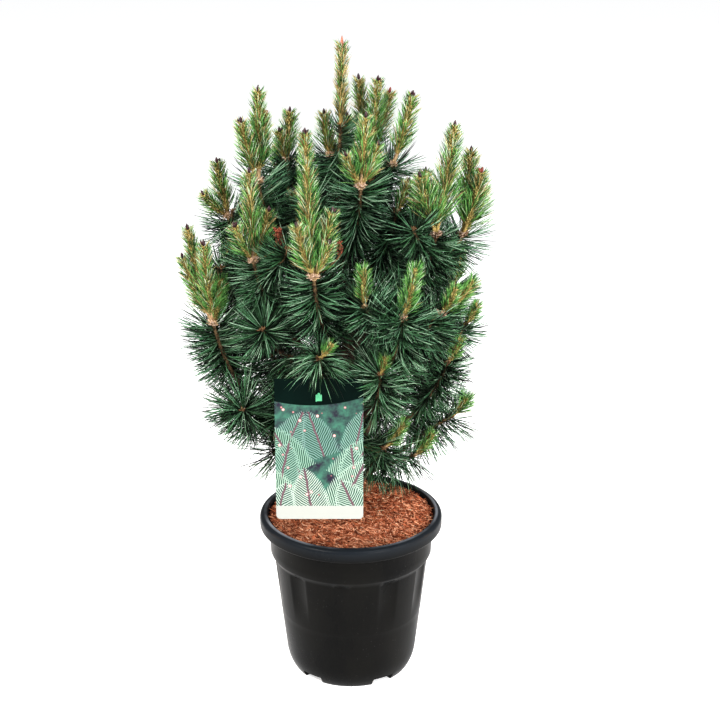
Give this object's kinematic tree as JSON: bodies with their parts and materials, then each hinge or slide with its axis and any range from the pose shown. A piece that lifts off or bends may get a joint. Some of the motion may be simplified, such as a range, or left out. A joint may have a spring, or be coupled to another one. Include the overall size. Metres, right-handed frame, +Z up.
{
  "type": "potted mugo pine",
  "caption": "Upright dwarf mountain pine with candles and long dark needles, mulched in a round black nursery pot with a hang tag.",
  "frame": {"origin": "middle of the pot's flat underside, on the pot's axis", "axes": "+Z up along the pot's axis, -Y to the front, where the hang tag is, +X to the right"},
  "size_m": [0.5209, 0.5183, 1.1131],
  "materials": {
    "pot_plastic": "black injection moulded plastic, faintly grained, satin on the rim",
    "mulch": "red-brown shredded bark and wood chips",
    "bark": "rough dark brown bark with raised scales",
    "needles": "long stiff needles, dark green on old wood and fresh green on the candles",
    "tag_card": "printed plastic card, satin",
    "tag_tie": "pale green plastic tie"
  },
  "bodies": {
    "root": {"bough_back_bottom": "bark", "bough_back_high": "bark", "bough_back_left_low": "bark", "bough_back_left_mid": "bark", "bough_back_low": "bark", "bough_back_mid": "bark", "bough_back_right_high": "bark", "bough_back_right_mid": "bark", "bough_front_bottom": "bark", "bough_front_centre": "bark", "bough_front_low": "bark", "bough_front_right": "bark", "bough_front_right_low": "bark", "bough_left_bottom": "bark", "bough_left_foot": "bark", "bough_left_front": "bark", "bough_left_high": "bark", "bough_left_low": "bark", "bough_left_top": "bark", "bough_left_top_back": "bark", "bough_right_bottom": "bark", "bough_right_high": "bark", "bough_right_low": "bark", "bough_right_mid": "bark", "hang_tag": "tag_card", "mulch": "mulch", "needles_back_bottom": "needles", "needles_back_high": "needles", "needles_back_left_low": "needles", "needles_back_left_mid": "needles", "needles_back_low": "needles", "needles_back_mid": "needles", "needles_back_right_high": "needles", "needles_back_right_mid": "needles", "needles_front_bottom": "needles", "needles_front_centre": "needles", "needles_front_low": "needles", "needles_front_right": "needles", "needles_front_right_low": "needles", "needles_leader": "needles", "needles_left_bottom": "needles", "needles_left_foot": "needles", "needles_left_front": "needles", "needles_left_high": "needles", "needles_left_low": "needles", "needles_left_top": "needles", "needles_left_top_back": "needles", "needles_right_bottom": "needles", "needles_right_high": "needles", "needles_right_inner": "needles", "needles_right_low": "needles", "needles_right_mid": "needles", "needles_top_back": "needles", "needles_top_front": "needles", "needles_top_left": "needles", "needles_top_right": "needles", "pot": "pot_plastic", "tag_tie": "tag_tie", "trunk": "bark"}
  },
  "joints": []
}
